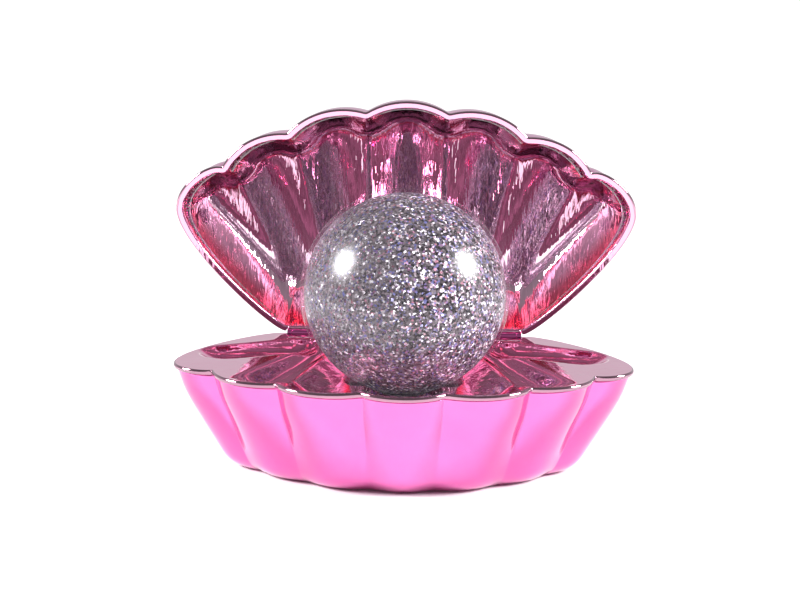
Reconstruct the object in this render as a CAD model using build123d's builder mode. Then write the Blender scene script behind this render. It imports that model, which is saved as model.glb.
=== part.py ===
from build123d import *
import os
from math import atan2, cos, hypot, pi, radians, sin, sqrt

os.makedirs("parts", exist_ok=True)

# A scallop ornament: a lower shell closed by a fluted tray, an upper shell that swings on a
# rear hinge, and a glitter pearl that turns in a perforated seat over an air chamber.
# Millimetres, +Z up, origin at the centre of the resting face.

# ---------------------------------------------------------------- driving dimensions
PAD_DROP = 0.5            # thickness of the non-slip pad under the lower shell
SHELL_DEPTH = 34.3        # rim plane down to the underside of the lower shell
RIM_Z = PAD_DROP + SHELL_DEPTH
AXIS_GAP = 0.35           # hinge axis behind the straight rear edge of the rims
OPEN_ANGLE = 77.0         # lid opening at rest

BEAD = 1.6                # height of the bead that runs round each rim
SEAL = 0.4                # seal between a shell and its tray or liner
WALL = 1.5                # wall of the fluted tray and liner
INSET = 0.960             # inner wall outline as a share of the outer one
INSET_T = 31.0            # centre of that inset, measured forward from the rear edge
SHRINK_T = 25.0           # centre about which an outline shrinks with depth

# Rim outlines, right-hand half: x, and distance forward of the rear edge.
# The side is a curve from the corner to the tip that leans toward `side` and `above_tip`.
# The lobes between notches are arcs whose rise is `bulge` times their chord.
LOWER_RIM = {
    "corner": (42.5, 0.0),
    "side": (51.7, 2.0),
    "above_tip": (75.3, 29.3),
    "tip": (72.8, 42.5),
    "notches": [(59.7, 52.0), (39.0, 67.0), (12.9, 76.0)],
    "bulge": 0.21,
}
UPPER_RIM = {
    "corner": (41.0, 0.0),
    "side": (49.3, 3.8),
    "above_tip": (79.0, 35.6),
    "tip": (75.3, 45.8),
    "notches": [(60.2, 58.6), (38.9, 70.6), (13.4, 78.1)],
    "bulge": 0.15,
}

# Depth from the rim plane against outline scale, from the seal to the closed end.
LOWER_PROFILE = [(2.0, 0.985), (9.0, 0.95), (17.0, 0.895), (25.0, 0.83), (31.0, 0.765), (34.3, 0.68)]
UPPER_PROFILE = [(2.0, 0.985), (9.0, 0.962), (17.0, 0.895), (24.0, 0.765), (29.0, 0.55), (31.5, 0.28)]
SHELL_FLOOR = 3.0         # thickness of the closed end of both shells
PAD_SCALE = 0.62          # outline of the non-slip pad

# Flutes of the tray and the liner, centre lobe outwards
FLUTE_ROOTS = [(0.0, 10.5), (12.0, 9.5), (21.5, 9.0), (31.0, 9.5)]
FLUTE_HALF_WIDTHS = [10.6, 9.8, 7.6, 5.6]
SIDE_CROWN = (10.0, 4.0)  # where the side flute points, inward of and beyond the tip
ROOT_WIDTH = 0.42         # half width at the root as a share of the outer half width
ROOT_DEPTH = 0.45
TRAY_LAND = 5.6           # flat border between the rim and the flute ends
TRAY_DEPTH = 9.0
LINER_LAND = 8.5
LINER_LEVEL = 6.0         # level that the liner's flutes are sunk from
LINER_DEPTH = 14.5
LINER_MOUTH = 0.945       # outline of the liner's hollow at the rim
LINER_DISH = [(5.0, 0.93), (9.0, 0.87), (12.5, 0.76), (14.5, 0.58)]

# The rest face is centred on the origin
FRONT_T = 81.4            # front of the centre lobe, forward of the rear edge
BACK_Y = SHRINK_T + (FRONT_T / 2 - SHRINK_T) * PAD_SCALE
AXIS_Y = BACK_Y + AXIS_GAP

# Pearl and its stem
PEARL_R = 32.9
PEARL_Y = BACK_Y - 40.0
PEARL_Z = RIM_Z + 22.7
PEARL_SKIN = 1.2
FLANGE_R = 7.9
FLANGE_T = 2.0
STEM_R = 5.0
STEM_BOTTOM = 13.0
CLIP_Z = 14.2
CLIP_T = 0.8
CLIP_GROOVE_R = 4.2
CLIP_R = 6.8
RUN_FIT = 0.08            # radial clearance of the turning fits

# Pearl seat, air chamber and air parts
SEAT_R = 16.95
SEAT_BOTTOM = 21.4
SEAT_GAP = 0.4            # between the cup and the pearl
SOCKET_R = 7.5
SOCKET_BOTTOM = 15.2
BOSS_R = 19.0
BOSS_TOP = RIM_Z - 6.3
BOSS_BOTTOM = 19.8
LEDGE_R = 15.6
AIR_HOLE_R = 1.5
AIR_HOLE_RING = 12.2
CHAMBER_BOTTOM = 6.6
CHAMBER_WALL = 1.6
STONE_R = 12.5
STONE_T = 3.6
INLET_Z = 10.5
AIR_BORE_R = 1.2
SPIGOT_R = 2.1            # spigot for airline of 4 mm bore
SPIGOT_TIP = 1.6          # length of the tapered end
THREAD_R = 3.2
HOSE_R = 3.0
PORT_R = 6.5

# Hinge
KNUCKLE_R = 1.5
PIN_R = 0.8
CAP_R = 1.5
NOTCH_CLEARANCE = 0.25    # round the knuckles, where the rims are notched for them
NOTCH_HALF = 39.9
WEB_START = 0.8           # depth of the web's top under the knuckle
WEB_END = 8.0
WEB_TOP_REACH = 0.5       # forward of the axis, beside the bead
WEB_BITE = 0.9            # how far the web runs into the rear wall below the bead
WEB_BACK = 0.8            # behind the axis
BASE_KNUCKLES = [(-38.0, -27.0), (-8.0, 8.0), (27.0, 38.0)]
LID_KNUCKLES = [(-26.0, -9.0), (9.0, 26.0)]
RING_T = 0.8
CAP_T = 1.6

# Base closure
PLATE_R = 23.5
PLATE_T = 1.6
OPENING_R = 18.2
SCREW_RING = 20.9
SCREW_R = 1.2
HEAD_R = 2.3
BOSS_POST_R = 2.5
BOSS_POST_TOP = 5.8
BALLAST_SIZE = (13.0, 24.0, 5.0)
BALLAST_X = 30.5


# ---------------------------------------------------------------- shared geometry
def base_plane(depth=0.0):
    """Plane parallel to the lower rim, level with the hinge axis at depth zero."""
    return Plane(origin=(0, AXIS_Y, RIM_Z - depth), x_dir=(1, 0, 0), z_dir=(0, 0, 1))


def lid_plane(depth=0.0):
    """Plane parallel to the open upper rim, through the hinge axis at depth zero."""
    angle = radians(OPEN_ANGLE)
    normal = Vector(0, sin(angle), cos(angle))
    return Plane(origin=Vector(0, AXIS_Y, RIM_Z) + normal * depth, x_dir=(1, 0, 0), z_dir=normal)


def mirror_x(point):
    return (-point[0], point[1])


def place(point, scale, inset=1.0):
    """Sketch position of a rim point after shrinking with depth and insetting for a wall."""
    x, t = point
    t = SHRINK_T + (t - SHRINK_T) * scale
    t = INSET_T + (t - INSET_T) * inset
    return (x * scale * inset, -(t + AXIS_GAP))


def lobe_peak(a, b, bulge):
    """Crown of the arc that bulges forward between two notches."""
    chord = hypot(b[0] - a[0], b[1] - a[1])
    nx, nt = (a[1] - b[1]) / chord, (b[0] - a[0]) / chord
    if nt < 0:
        nx, nt = -nx, -nt
    return ((a[0] + b[0]) / 2 + nx * bulge * chord, (a[1] + b[1]) / 2 + nt * bulge * chord)


def rim_outline(rim, scale=1.0, inset=1.0):
    """Closed seven-lobed face: a straight rear edge, two side lobes and five arcs."""
    def at(point):
        return place(point, scale, inset)

    corner, tip = rim["corner"], rim["tip"]
    notches = rim["notches"]
    side, above_tip = rim["side"], rim["above_tip"]
    below_tip = (tip[0] - 0.5, tip[1] + 6.5)
    to_notch = (notches[0][0] + 4.5, notches[0][1] + 2.0)
    with BuildLine() as edge_line:
        Line(at(mirror_x(corner)), at(corner))
        Bezier(at(corner), at(side), at(above_tip), at(tip))
        Bezier(at(tip), at(below_tip), at(to_notch), at(notches[0]))
        front = notches + [mirror_x(n) for n in reversed(notches)]
        for a, b in zip(front, front[1:]):
            ThreePointArc(at(a), at(lobe_peak(a, b, rim["bulge"])), at(b))
        Bezier(at(mirror_x(notches[0])), at(mirror_x(to_notch)), at(mirror_x(below_tip)), at(mirror_x(tip)))
        Bezier(at(mirror_x(tip)), at(mirror_x(above_tip)), at(mirror_x(side)), at(mirror_x(corner)))
    make_face(edge_line.edges())


def section(plane, rim, depth, scale, inset=1.0):
    """The rim outline, shrunk and inset, on a plane at a depth."""
    with BuildSketch(plane(depth)) as outline:
        rim_outline(rim, scale, inset)
    return outline.sketch


def outline_prism(plane, rim, start, amount, scale, inset=1.0, mode=Mode.ADD):
    """Prism of the rim outline from one depth, `amount` along the plane's normal."""
    extrude(section(plane, rim, start, scale, inset), amount=amount, mode=mode)


def rim_bead(plane, rim):
    """Border plate with a half-round edge, widest at mid height."""
    shares = (0.0, 0.2, 0.5, 0.8, 1.0)
    swells = [sqrt(1 - (2 * share - 1) ** 2) for share in shares]
    loft([section(plane, rim, BEAD * a, 0.990 + 0.010 * b) for a, b in zip(shares, swells)])


def shell_body(plane, rim, profile, inner_end):
    """Scalloped shell: a loft through shrinking outlines, hollowed by an inset copy."""
    loft([section(plane, rim, depth, scale) for depth, scale in profile])
    inner = profile[:-2] + [(inner_end, profile[-2][1])]
    loft([section(plane, rim, depth, scale, INSET) for depth, scale in inner], mode=Mode.SUBTRACT)


def flute_lines(rim, land):
    """Root, end and half width of each flute in rim coordinates, mirrored pairs together."""
    n1, n2, n3 = rim["notches"]
    crowns = [
        lobe_peak(n3, mirror_x(n3), rim["bulge"]),
        lobe_peak(n2, n3, rim["bulge"]),
        lobe_peak(n1, n2, rim["bulge"]),
        (rim["tip"][0] - SIDE_CROWN[0], rim["tip"][1] + SIDE_CROWN[1]),
    ]
    flutes = []
    for crown, root, width in zip(crowns, FLUTE_ROOTS, FLUTE_HALF_WIDTHS):
        run = hypot(crown[0] - root[0], crown[1] - root[1])
        reach = (run - land - width) / run
        end = (root[0] + (crown[0] - root[0]) * reach, root[1] + (crown[1] - root[1]) * reach)
        flutes.append((root, end, width))
        if root[0]:
            flutes.append((mirror_x(root), mirror_x(end), width))
    return flutes


def flute(plane, level, side, line, full_depth, grow=0.0, mode=Mode.ADD):
    """Round tapered channel below (side -1) or above (side 1) the plane at a level."""
    root, end, width = line
    depth = full_depth * width / FLUTE_HALF_WIDTHS[0]
    root_half, root_depth = ROOT_WIDTH * width, ROOT_DEPTH * depth
    r_end = (width ** 2 + depth ** 2) / (2 * depth)
    r_root = (root_half ** 2 + root_depth ** 2) / (2 * root_depth)
    frame = plane(level)
    a = frame.from_local_coords(Vector(root[0], -(root[1] + AXIS_GAP), side * (root_depth - r_root)))
    b = frame.from_local_coords(Vector(end[0], -(end[1] + AXIS_GAP), side * (depth - r_end)))
    r_root += grow
    r_end += grow
    length = (b - a).length
    lean = atan2(sqrt(length ** 2 - (r_end - r_root) ** 2), -(r_end - r_root))
    along = (b - a).normalized()
    with BuildSketch(Plane(origin=a, x_dir=along, z_dir=along.cross(frame.z_dir).normalized())) as half:
        with BuildLine():
            root_mid = (pi + lean) / 2
            end_mid = lean / 2
            knee = (length + r_end * cos(lean), r_end * sin(lean))
            shoulder = (r_root * cos(lean), r_root * sin(lean))
            ThreePointArc((-r_root, 0), (r_root * cos(root_mid), r_root * sin(root_mid)), shoulder)
            Line(shoulder, knee)
            ThreePointArc(knee, (length + r_end * cos(end_mid), r_end * sin(end_mid)), (length + r_end, 0))
            Line((length + r_end, 0), (-r_root, 0))
        make_face()
    revolve(half.sketch, axis=Axis(origin=a, direction=along), mode=mode)


def axis_disc(radius, x0, x1, mode=Mode.ADD):
    """Cylinder on the hinge axis between two x positions."""
    with BuildSketch(Plane(origin=(x0, AXIS_Y, RIM_Z), x_dir=(0, 1, 0), z_dir=(1, 0, 0))) as disc:
        Circle(radius)
    extrude(disc.sketch, amount=x1 - x0, mode=mode)


def hinge_notch():
    """Clears the rear edge of a rim, and what lies under it, round the knuckles."""
    axis_disc(KNUCKLE_R + NOTCH_CLEARANCE, -NOTCH_HALF, NOTCH_HALF, mode=Mode.SUBTRACT)


def knuckles(spans, plane, side, bore):
    """Hinge knuckles with webs that run under the rim to the rear wall, bored for the pin."""
    hinge_notch()
    for x0, x1 in spans:
        axis_disc(KNUCKLE_R, x0, x1)
        for reach, start in ((WEB_TOP_REACH, WEB_START), (AXIS_GAP + WEB_BITE, BEAD + SEAL)):
            with BuildSketch(plane(start)) as web:
                with Locations(((x0 + x1) / 2, (WEB_BACK - reach) / 2)):
                    Rectangle(x1 - x0, reach + WEB_BACK)
            extrude(web.sketch, amount=side * (WEB_END - start))
    axis_disc(bore, spans[0][0] - 1, spans[-1][1] + 1, mode=Mode.SUBTRACT)


def upright(radius, z0, z1, mode=Mode.ADD):
    """Cylinder on the pearl's vertical axis."""
    with BuildSketch(Plane(origin=(0, PEARL_Y, z0))) as disc:
        Circle(radius)
    extrude(disc.sketch, amount=z1 - z0, mode=mode)


def air_disc(radius, y0, y1, mode=Mode.ADD):
    """Cylinder on the horizontal air line."""
    with BuildSketch(Plane(origin=(0, y1, INLET_Z), x_dir=(1, 0, 0), z_dir=(0, -1, 0))) as disc:
        Circle(radius)
    extrude(disc.sketch, amount=y1 - y0, mode=mode)


def finish(builder, name):
    builder.part.label = name
    export_step(builder.part, f"parts/{name}.step")


SCREW_PLACES = PolarLocations(SCREW_RING, 4, start_angle=45)
LOWER_FLOOR_Z = PAD_DROP + SHELL_FLOOR
PORT_FACE = BACK_Y - 2.5          # flat outer face of the air port
PORT_INNER = PORT_FACE - 6.6

# ---------------------------------------------------------------- lower half
with BuildPart() as lower_shell:
    shell_body(base_plane, LOWER_RIM, LOWER_PROFILE, SHELL_DEPTH - SHELL_FLOOR)
    knuckles(BASE_KNUCKLES, base_plane, -1, PIN_R + 0.02)
    air_disc(PORT_R, PORT_INNER, PORT_FACE)
    air_disc(THREAD_R + 0.02, PORT_INNER - 1, PORT_FACE + 1, mode=Mode.SUBTRACT)
    upright(OPENING_R, -1, LOWER_FLOOR_Z + 1, mode=Mode.SUBTRACT)
    upright(PLATE_R + 0.05, -1, PAD_DROP + PLATE_T, mode=Mode.SUBTRACT)
    with BuildSketch(Plane(origin=(0, PEARL_Y, PAD_DROP + PLATE_T))):
        with SCREW_PLACES:
            Circle(BOSS_POST_R)
    extrude(amount=BOSS_POST_TOP - PAD_DROP - PLATE_T)
    with BuildSketch(Plane(origin=(0, PEARL_Y, PAD_DROP))):
        with SCREW_PLACES:
            Circle(SCREW_R + 0.02)
    extrude(amount=BOSS_POST_TOP - PAD_DROP - 0.4, mode=Mode.SUBTRACT)
finish(lower_shell, "lower_shell")

with BuildPart() as lower_tray:
    for line in flute_lines(LOWER_RIM, TRAY_LAND):
        flute(base_plane, 0, -1, line, TRAY_DEPTH, grow=WALL)
    upright(BOSS_R, BOSS_BOTTOM, BOSS_TOP)
    split(bisect_by=base_plane(BEAD / 2), keep=Keep.BOTTOM)
    rim_bead(base_plane, LOWER_RIM)
    for line in flute_lines(LOWER_RIM, TRAY_LAND):
        flute(base_plane, 0, -1, line, TRAY_DEPTH, mode=Mode.SUBTRACT)
    upright(BOSS_R, BOSS_BOTTOM, BOSS_TOP)
    with BuildSketch(Plane.XZ.offset(-PEARL_Y)):
        with Locations((0, PEARL_Z)):
            Circle(PEARL_R + 0.6)
            Rectangle(3 * PEARL_R, 3 * PEARL_R, align=(Align.MAX, Align.CENTER), mode=Mode.SUBTRACT)
    revolve(axis=Axis((0, PEARL_Y, 0), (0, 0, 1)), mode=Mode.SUBTRACT)
    upright(SEAT_R + 0.02, SEAT_BOTTOM, RIM_Z + 1, mode=Mode.SUBTRACT)
    upright(LEDGE_R, BOSS_BOTTOM - 1, SEAT_BOTTOM + 1, mode=Mode.SUBTRACT)
    hinge_notch()
finish(lower_tray, "lower_tray")

with BuildPart() as tray_seal:
    outline_prism(base_plane, LOWER_RIM, BEAD + SEAL, SEAL, 0.980)
    outline_prism(base_plane, LOWER_RIM, BEAD + SEAL + 1, SEAL + 2, 0.980, INSET, mode=Mode.SUBTRACT)
    hinge_notch()
finish(tray_seal, "tray_seal")

with BuildPart() as pearl_seat:
    upright(SEAT_R, SEAT_BOTTOM, BOSS_TOP + 0.8)
    upright(SOCKET_R, SOCKET_BOTTOM, SEAT_BOTTOM + 1)
    with BuildSketch(Plane.XZ.offset(-PEARL_Y)):
        with Locations((0, PEARL_Z)):
            Circle(PEARL_R + SEAT_GAP)
            Rectangle(3 * PEARL_R, 3 * PEARL_R, align=(Align.MAX, Align.CENTER), mode=Mode.SUBTRACT)
    revolve(axis=Axis((0, PEARL_Y, 0), (0, 0, 1)), mode=Mode.SUBTRACT)
    flange_top = PEARL_Z - sqrt(PEARL_R ** 2 - FLANGE_R ** 2)
    upright(FLANGE_R + 0.4, flange_top - FLANGE_T, RIM_Z, mode=Mode.SUBTRACT)
    upright(STEM_R + RUN_FIT, SOCKET_BOTTOM - 1, RIM_Z, mode=Mode.SUBTRACT)
    with BuildSketch(Plane(origin=(0, PEARL_Y, SEAT_BOTTOM - 1))):
        with PolarLocations(AIR_HOLE_RING, 12):
            Circle(AIR_HOLE_R)
    extrude(amount=12, mode=Mode.SUBTRACT)
finish(pearl_seat, "pearl_seat")

with BuildPart() as air_chamber:
    upright(BOSS_R, CHAMBER_BOTTOM, BOSS_BOTTOM)
    upright(BOSS_R - CHAMBER_WALL, CHAMBER_BOTTOM + CHAMBER_WALL, BOSS_BOTTOM + 1, mode=Mode.SUBTRACT)
    air_disc(SPIGOT_R, PEARL_Y + BOSS_R - CHAMBER_WALL / 2, PEARL_Y + BOSS_R + 4.5)
    air_disc(AIR_BORE_R, PEARL_Y + STONE_R, PEARL_Y + BOSS_R + 6, mode=Mode.SUBTRACT)
finish(air_chamber, "air_chamber")

with BuildPart() as air_stone:
    upright(STONE_R, CHAMBER_BOTTOM + CHAMBER_WALL, CHAMBER_BOTTOM + CHAMBER_WALL + STONE_T)
    stone_edges = air_stone.edges().filter_by(GeomType.CIRCLE)
    fillet(stone_edges, radius=0.8)
    air_disc(AIR_BORE_R - 0.05, PEARL_Y + STONE_R - 1.5, PEARL_Y + BOSS_R)
finish(air_stone, "air_stone")

with BuildPart() as airline_hose:
    air_disc(HOSE_R, PEARL_Y + BOSS_R + 0.4, PORT_INNER - 2.1)
    air_disc(SPIGOT_R + 0.02, PEARL_Y, BACK_Y, mode=Mode.SUBTRACT)
finish(airline_hose, "airline_hose")

with BuildPart() as airline_inlet:
    air_disc(SPIGOT_R, PORT_INNER - 6, PORT_FACE + 12.5)
    air_disc(THREAD_R, PORT_INNER - 2, PORT_FACE)
    air_disc(5.2, PORT_FACE, PORT_FACE + 1.5)
    spigot_end = airline_inlet.faces().sort_by(Axis.Y)[-1]
    chamfer(spigot_end.edges(), length=SPIGOT_TIP, length2=SPIGOT_TIP / 4)
    air_disc(AIR_BORE_R, PORT_INNER - 7, PORT_FACE + 14, mode=Mode.SUBTRACT)
finish(airline_inlet, "airline_inlet")

with BuildPart() as inlet_nut:
    with BuildSketch(Plane(origin=(0, PORT_INNER, INLET_Z), x_dir=(1, 0, 0), z_dir=(0, -1, 0))):
        RegularPolygon(5.0, 6)
    extrude(amount=2.0)
    air_disc(THREAD_R + 0.02, PORT_INNER - 3, PORT_INNER + 1, mode=Mode.SUBTRACT)
finish(inlet_nut, "inlet_nut")

with BuildPart() as base_plate:
    upright(PLATE_R, PAD_DROP, PAD_DROP + PLATE_T)
    with BuildSketch(Plane(origin=(0, PEARL_Y, PAD_DROP))):
        with SCREW_PLACES:
            Circle(HEAD_R)
    extrude(amount=0.9, mode=Mode.SUBTRACT)
    with BuildSketch(Plane(origin=(0, PEARL_Y, PAD_DROP))):
        with SCREW_PLACES:
            Circle(SCREW_R + 0.05)
    extrude(amount=PLATE_T, mode=Mode.SUBTRACT)
finish(base_plate, "base_plate")

with BuildPart() as base_screws:
    with BuildSketch(Plane(origin=(0, PEARL_Y, PAD_DROP))):
        with SCREW_PLACES:
            Circle(HEAD_R - 0.05)
    extrude(amount=0.9)
    with BuildSketch(Plane(origin=(0, PEARL_Y, PAD_DROP))):
        with SCREW_PLACES:
            Circle(SCREW_R)
    extrude(amount=BOSS_POST_TOP - PAD_DROP - 0.8)
    with BuildSketch(Plane(origin=(0, PEARL_Y, PAD_DROP))):
        with SCREW_PLACES:
            Rectangle(2.6, 0.6)
            Rectangle(0.6, 2.6)
    extrude(amount=0.6, mode=Mode.SUBTRACT)
finish(base_screws, "base_screws")

with BuildPart() as non_slip_pad:
    outline_prism(base_plane, LOWER_RIM, RIM_Z, PAD_DROP, PAD_SCALE)
finish(non_slip_pad, "non_slip_pad")

for side_sign, side_name in ((-1, "left"), (1, "right")):
    with BuildPart() as ballast:
        with BuildSketch(Plane.XY.offset(LOWER_FLOOR_Z)):
            with Locations((side_sign * BALLAST_X, PEARL_Y)):
                RectangleRounded(BALLAST_SIZE[0], BALLAST_SIZE[1], 2.0)
        extrude(amount=BALLAST_SIZE[2])
    finish(ballast, f"ballast_{side_name}")

# ---------------------------------------------------------------- hinge hardware
with BuildPart() as hinge_pin:
    axis_disc(PIN_R, BASE_KNUCKLES[0][0] - 0.8, BASE_KNUCKLES[-1][1] + 0.8)
finish(hinge_pin, "hinge_pin")

with BuildPart() as hinge_pin_caps:
    for end_x, out in ((BASE_KNUCKLES[0][0], -1), (BASE_KNUCKLES[-1][1], 1)):
        axis_disc(CAP_R, min(end_x, end_x + out * CAP_T), max(end_x, end_x + out * CAP_T))
    axis_disc(PIN_R + 0.02, BASE_KNUCKLES[0][0] - 0.85, BASE_KNUCKLES[-1][1] + 0.85, mode=Mode.SUBTRACT)
finish(hinge_pin_caps, "hinge_pin_caps")

with BuildPart() as hinge_rings:
    for gap_x in (-26.5, -8.5, 8.5, 26.5):
        axis_disc(KNUCKLE_R - 0.2, gap_x - RING_T / 2, gap_x + RING_T / 2)
    axis_disc(PIN_R + 0.02, -30, 30, mode=Mode.SUBTRACT)
finish(hinge_rings, "hinge_rings")

# ---------------------------------------------------------------- upper half
with BuildPart() as upper_shell:
    shell_body(lid_plane, UPPER_RIM, UPPER_PROFILE, UPPER_PROFILE[-1][0] - SHELL_FLOOR)
    knuckles(LID_KNUCKLES, lid_plane, 1, PIN_R + RUN_FIT)
finish(upper_shell, "upper_shell")

with BuildPart() as upper_liner:
    for line in flute_lines(UPPER_RIM, LINER_LAND):
        flute(lid_plane, LINER_LEVEL, 1, line, LINER_DEPTH, grow=WALL)
    split(bisect_by=lid_plane(LINER_LEVEL), keep=Keep.TOP)
    outer_dish = [(BEAD / 2, LINER_MOUTH + 0.012)] + [(d + WALL, s + 0.012) for d, s in LINER_DISH]
    loft([section(lid_plane, UPPER_RIM, depth, scale, INSET) for depth, scale in outer_dish])
    rim_bead(lid_plane, UPPER_RIM)
    inner_dish = [(-1.0, LINER_MOUTH)] + LINER_DISH
    loft([section(lid_plane, UPPER_RIM, d, s, INSET) for d, s in inner_dish], mode=Mode.SUBTRACT)
    for line in flute_lines(UPPER_RIM, LINER_LAND):
        flute(lid_plane, LINER_LEVEL, 1, line, LINER_DEPTH, mode=Mode.SUBTRACT)
    hinge_notch()
finish(upper_liner, "upper_liner")

with BuildPart() as liner_seal:
    outline_prism(lid_plane, UPPER_RIM, BEAD, SEAL, 0.980)
    outline_prism(lid_plane, UPPER_RIM, BEAD - 1, SEAL + 2, 0.980, INSET, mode=Mode.SUBTRACT)
    hinge_notch()
finish(liner_seal, "liner_seal")

# ---------------------------------------------------------------- pearl
with BuildPart() as pearl_shell:
    with Locations((0, PEARL_Y, PEARL_Z)):
        Sphere(PEARL_R)
        Sphere(PEARL_R - PEARL_SKIN, mode=Mode.SUBTRACT)
    upright(FLANGE_R, PEARL_Z - PEARL_R - 1, flange_top, mode=Mode.SUBTRACT)
finish(pearl_shell, "pearl_shell")

with BuildPart() as glitter_core:
    with Locations((0, PEARL_Y, PEARL_Z)):
        Sphere(PEARL_R - PEARL_SKIN - 0.05)
finish(glitter_core, "glitter_core")

with BuildPart() as pearl_stem:
    upright(FLANGE_R - 0.05, flange_top - FLANGE_T, flange_top)
    upright(STEM_R, STEM_BOTTOM, flange_top)
    upright(STEM_R + 1, CLIP_Z, CLIP_Z + CLIP_T, mode=Mode.SUBTRACT)
    upright(CLIP_GROOVE_R, CLIP_Z, CLIP_Z + CLIP_T)
finish(pearl_stem, "pearl_stem")

with BuildPart() as stem_clip:
    upright(CLIP_R, CLIP_Z + 0.05, CLIP_Z + CLIP_T - 0.05)
    upright(CLIP_GROOVE_R + 0.02, CLIP_Z - 1, CLIP_Z + CLIP_T + 1, mode=Mode.SUBTRACT)
    with BuildSketch(Plane(origin=(0, PEARL_Y, CLIP_Z - 1))):
        with Locations((0, CLIP_R)):
            Rectangle(5.0, 2 * CLIP_R)
    extrude(amount=CLIP_T + 2, mode=Mode.SUBTRACT)
finish(stem_clip, "stem_clip")
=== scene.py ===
import math

import bmesh
import bpy
import numpy as np
from mathutils import Matrix, Vector


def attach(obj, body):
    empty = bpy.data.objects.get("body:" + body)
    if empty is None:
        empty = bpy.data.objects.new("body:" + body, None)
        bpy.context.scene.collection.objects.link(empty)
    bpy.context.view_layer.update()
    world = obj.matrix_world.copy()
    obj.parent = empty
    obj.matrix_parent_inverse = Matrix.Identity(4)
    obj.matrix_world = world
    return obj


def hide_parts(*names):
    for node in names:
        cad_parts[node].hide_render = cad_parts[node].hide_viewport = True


# Looks of the scallop ornament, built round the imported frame. Lengths are millimetres in this
# file and become metres when a mesh is made. +X right, +Y back, +Z up.

# ---------------------------------------------------------------- dimensions shared with the part
PAD_DROP = 0.5            # the pad's part that stands below the shell
SHELL_DEPTH = 34.3
RIM_Z = PAD_DROP + SHELL_DEPTH
AXIS_GAP = 0.35
OPEN_ANGLE = math.radians(77.0)
BEAD = 1.6                # height of the half-round rim bead
WALL = 1.5
INSET = 0.960             # inner outline of a shell, as a share of the outer
INSET_T = 31.0            # where that inset is centred
SHRINK_T = 25.0           # where the outline's shrinking with depth is centred
SHELL_FLOOR = 3.0
FRONT_T = 81.4
BACK_Y = SHRINK_T + (FRONT_T / 2 - SHRINK_T) * 0.62
AXIS_Y = BACK_Y + AXIS_GAP

LOWER_RIM = {
    "corner": (42.5, 0.0),
    "side": (51.7, 2.0),
    "above_tip": (75.3, 29.3),
    "tip": (72.8, 42.5),
    "notches": [(59.7, 52.0), (39.0, 67.0), (12.9, 76.0)],
    "bulge": 0.21,
}
UPPER_RIM = {
    "corner": (41.0, 0.0),
    "side": (49.3, 3.8),
    "above_tip": (79.0, 35.6),
    "tip": (75.3, 45.8),
    "notches": [(60.2, 58.6), (38.9, 70.6), (13.4, 78.1)],
    "bulge": 0.15,
}
TIP_HANDLE = (-0.5, 6.5)       # curve handles below the tip and before the first notch
NOTCH_HANDLE = (4.5, 2.0)
# shell profiles as (depth below the rim, scale of the outline)
LOWER_PROFILE = [(BEAD, 0.985), (9, 0.95), (17, 0.895), (25, 0.84), (31, 0.795), (33.8, 0.75),
                 (34.3, 0.715)]
UPPER_PROFILE = [(BEAD, 0.985), (9, 0.962), (17, 0.895), (24, 0.765), (29, 0.55), (30.6, 0.40),
                 (31.2, 0.28), (31.45, 0.12), (31.5, 0.03)]

PEARL_R = 32.9
PEARL_T = 40.0
PEARL_Y = BACK_Y - PEARL_T
PEARL_Z = RIM_Z + 22.7
PEARL_SKIN = 1.2
FLANGE_R = 7.9
SEAT_R = 17.0
BOSS_R = 19.0
BOSS_DEPTH = 6.3
OPENING_R = 18.2
PLATE_R = 23.55
PLATE_T = 1.6
SCREW_RING = 20.9
KNUCKLE_R = 1.5
PIN_BORE = 0.85
NOTCH_R = 1.75            # round the hinge axis, cleared from both rims
NOTCH_HALF = 39.9
NOTCH_END = 0.6           # run over which each end of the notch fades out
NOTCH_CLEAR = 9.0         # pushes the fading wall behind the rim
WEB_FRONT = 0.5           # forward of the axis
WEB_BACK = 0.8            # behind the axis
WEB_END = 8.0             # depth of the web's foot
BASE_KNUCKLES = [(-38.0, -27.0), (-8.0, 8.0), (27.0, 38.0)]
LID_KNUCKLES = [(-26.0, -9.0), (9.0, 26.0)]
PORT_Z = 10.5
PORT_R = 6.5
PORT_BORE = 3.25
PORT_FACE = BACK_Y - 2.5
PORT_INNER = PORT_FACE - 6.6
PORT_EDGE = (0.4, 0.12)   # reach and corner of the port's rounded edge
POST_BORE = 1.25
POST_R = 2.5
POST_TOP = 5.8
POST_EDGE = 0.2

# ---------------------------------------------------------------- surfaces only seen in the looks
ROUNDS = 960              # points round a rim outline
NOTCH_SOFT = 0.45         # spread, in millimetres, that softens the notches of the rims
GROOVE_FADE = 6.0         # spread that fills the lower shell's grooves toward its foot
GROOVE_FILL = (0.8, 12.0, 20.0)    # share filled, the depth where it starts and the run it takes
KNUCKLE_ENDS = [(0.0, 0.93), (0.08, 0.98), (0.25, 1.0)]   # distance from an end, and the size there
KNUCKLE_SOFT = 0.15
PEARL_GAP = 0.6           # between the pearl and the tray's hollow
TRAY_RIDGES = [((10.5, 0.0), (12.9, 76.0)), ((20.5, 0.0), (37.5, 68.5)), ((23.0, 0.0), (49.0, 52.0))]
TRAY_BOWL = (2.6, 14.0)   # how far the ridges sink toward the pearl, and over what distance
TRAY_FLUTE_SHARE = 0.17   # depth of a tray flute as a share of its width
TRAY_LAND = 0.8           # flat run inside the rim
TRAY_RISE = 8.0           # run over which the tray's flutes gain their depth
LAND_WEDGE = 7.0          # run over which the bowl fades toward the side lobe
SIDE_LEAF = ((35.0, 18.0), (57.0, 28.2), 9.2, 3.6)   # root, end, half width and depth of the side hollow
LEAF_SOFT = 0.22          # softness of that hollow's edge
LEAF_LAND = 0.5           # flat run between that hollow and the rim
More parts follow.
